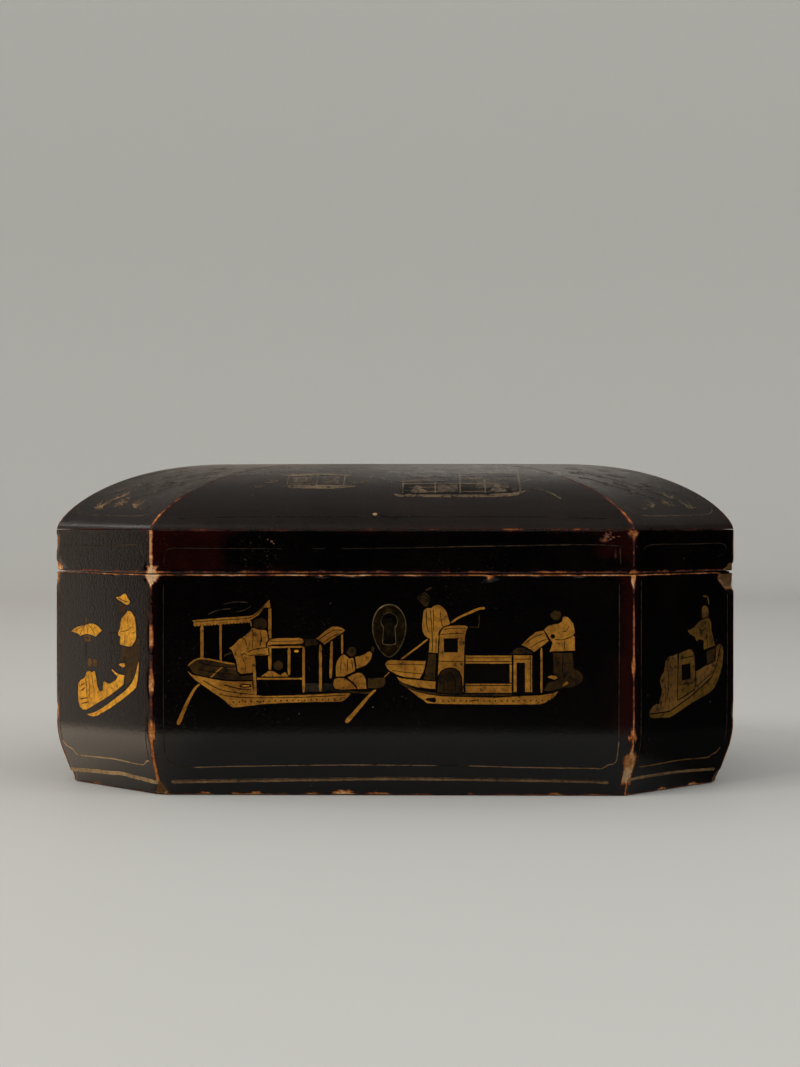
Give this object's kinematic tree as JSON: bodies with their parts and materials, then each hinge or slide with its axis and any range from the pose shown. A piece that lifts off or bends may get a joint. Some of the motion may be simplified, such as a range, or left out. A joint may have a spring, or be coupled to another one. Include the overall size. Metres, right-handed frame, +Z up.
{
  "type": "lacquer chest",
  "caption": "Lacquered wooden chest on an inward-curving foot, with canted corners, a ridged domed lid on butt hinges and a lock let into the front.",
  "frame": {"origin": "centre of the footprint, on the surface that the chest stands on", "axes": "+X along the width, to the right seen from the front; +Y towards the hinges; +Z up; the keyhole faces -Y"},
  "size_m": [0.28, 0.2104, 0.1329],
  "materials": {
    "lacquer": "worn black lacquer with gold decoration, satin",
    "inner_lacquer": "plain dark lacquer, satin",
    "brass": "aged, dull",
    "steel": "aged, dull"
  },
  "bodies": {
    "chest_body": {"front_wall": "lacquer", "front_right_wall": "lacquer", "right_wall": "lacquer", "back_right_wall": "lacquer", "back_wall": "lacquer", "back_left_wall": "lacquer", "left_wall": "lacquer", "front_left_wall": "lacquer", "bottom_board": "inner_lacquer", "keyhole_plate": "brass", "lock_plate": "brass", "lock_case": "brass", "bolt_spring": "steel", "key_pin": "steel", "bolt_rest_left": "steel", "bolt_rest_right": "steel", "lock_screw_1": "brass", "lock_screw_2": "brass", "lock_screw_3": "brass", "lock_screw_4": "brass", "hinge_left_body_leaf": "brass", "hinge_left_pin": "steel", "hinge_left_body_screw_1": "brass", "hinge_left_body_screw_2": "brass", "hinge_right_body_leaf": "brass", "hinge_right_pin": "steel", "hinge_right_body_screw_1": "brass", "hinge_right_body_screw_2": "brass"},
    "lid": {"lid_front_rim": "lacquer", "lid_front_stave": "lacquer", "lid_front_right_rim": "lacquer", "lid_front_right_stave": "lacquer", "lid_right_rim": "lacquer", "lid_right_stave": "lacquer", "lid_back_right_rim": "lacquer", "lid_back_right_stave": "lacquer", "lid_back_rim": "lacquer", "lid_back_stave": "lacquer", "lid_back_left_rim": "lacquer", "lid_back_left_stave": "lacquer", "lid_left_rim": "lacquer", "lid_left_stave": "lacquer", "lid_front_left_rim": "lacquer", "lid_front_left_stave": "lacquer", "lid_crown_board": "lacquer", "link_plate": "brass", "link_loop_left": "brass", "link_loop_right": "brass", "link_screw_1": "brass", "link_screw_2": "brass", "hinge_left_lid_leaf": "brass", "hinge_left_lid_screw_1": "brass", "hinge_left_lid_screw_2": "brass", "hinge_right_lid_leaf": "brass", "hinge_right_lid_screw_1": "brass", "hinge_right_lid_screw_2": "brass"},
    "bolt": {"lock_bolt": "brass"}
  },
  "joints": [
    {"name": "lid_hinge", "type": "hinge", "parent": "chest_body", "child": "lid", "pos_m": [0, 0.1018, 0.0872], "axis": [-1, 0, 0], "range_deg": [0, 100]},
    {"name": "bolt_slide", "type": "slide", "parent": "chest_body", "child": "bolt", "axis": [1, 0, 0], "range_m": [0, 0.005]}
  ]
}
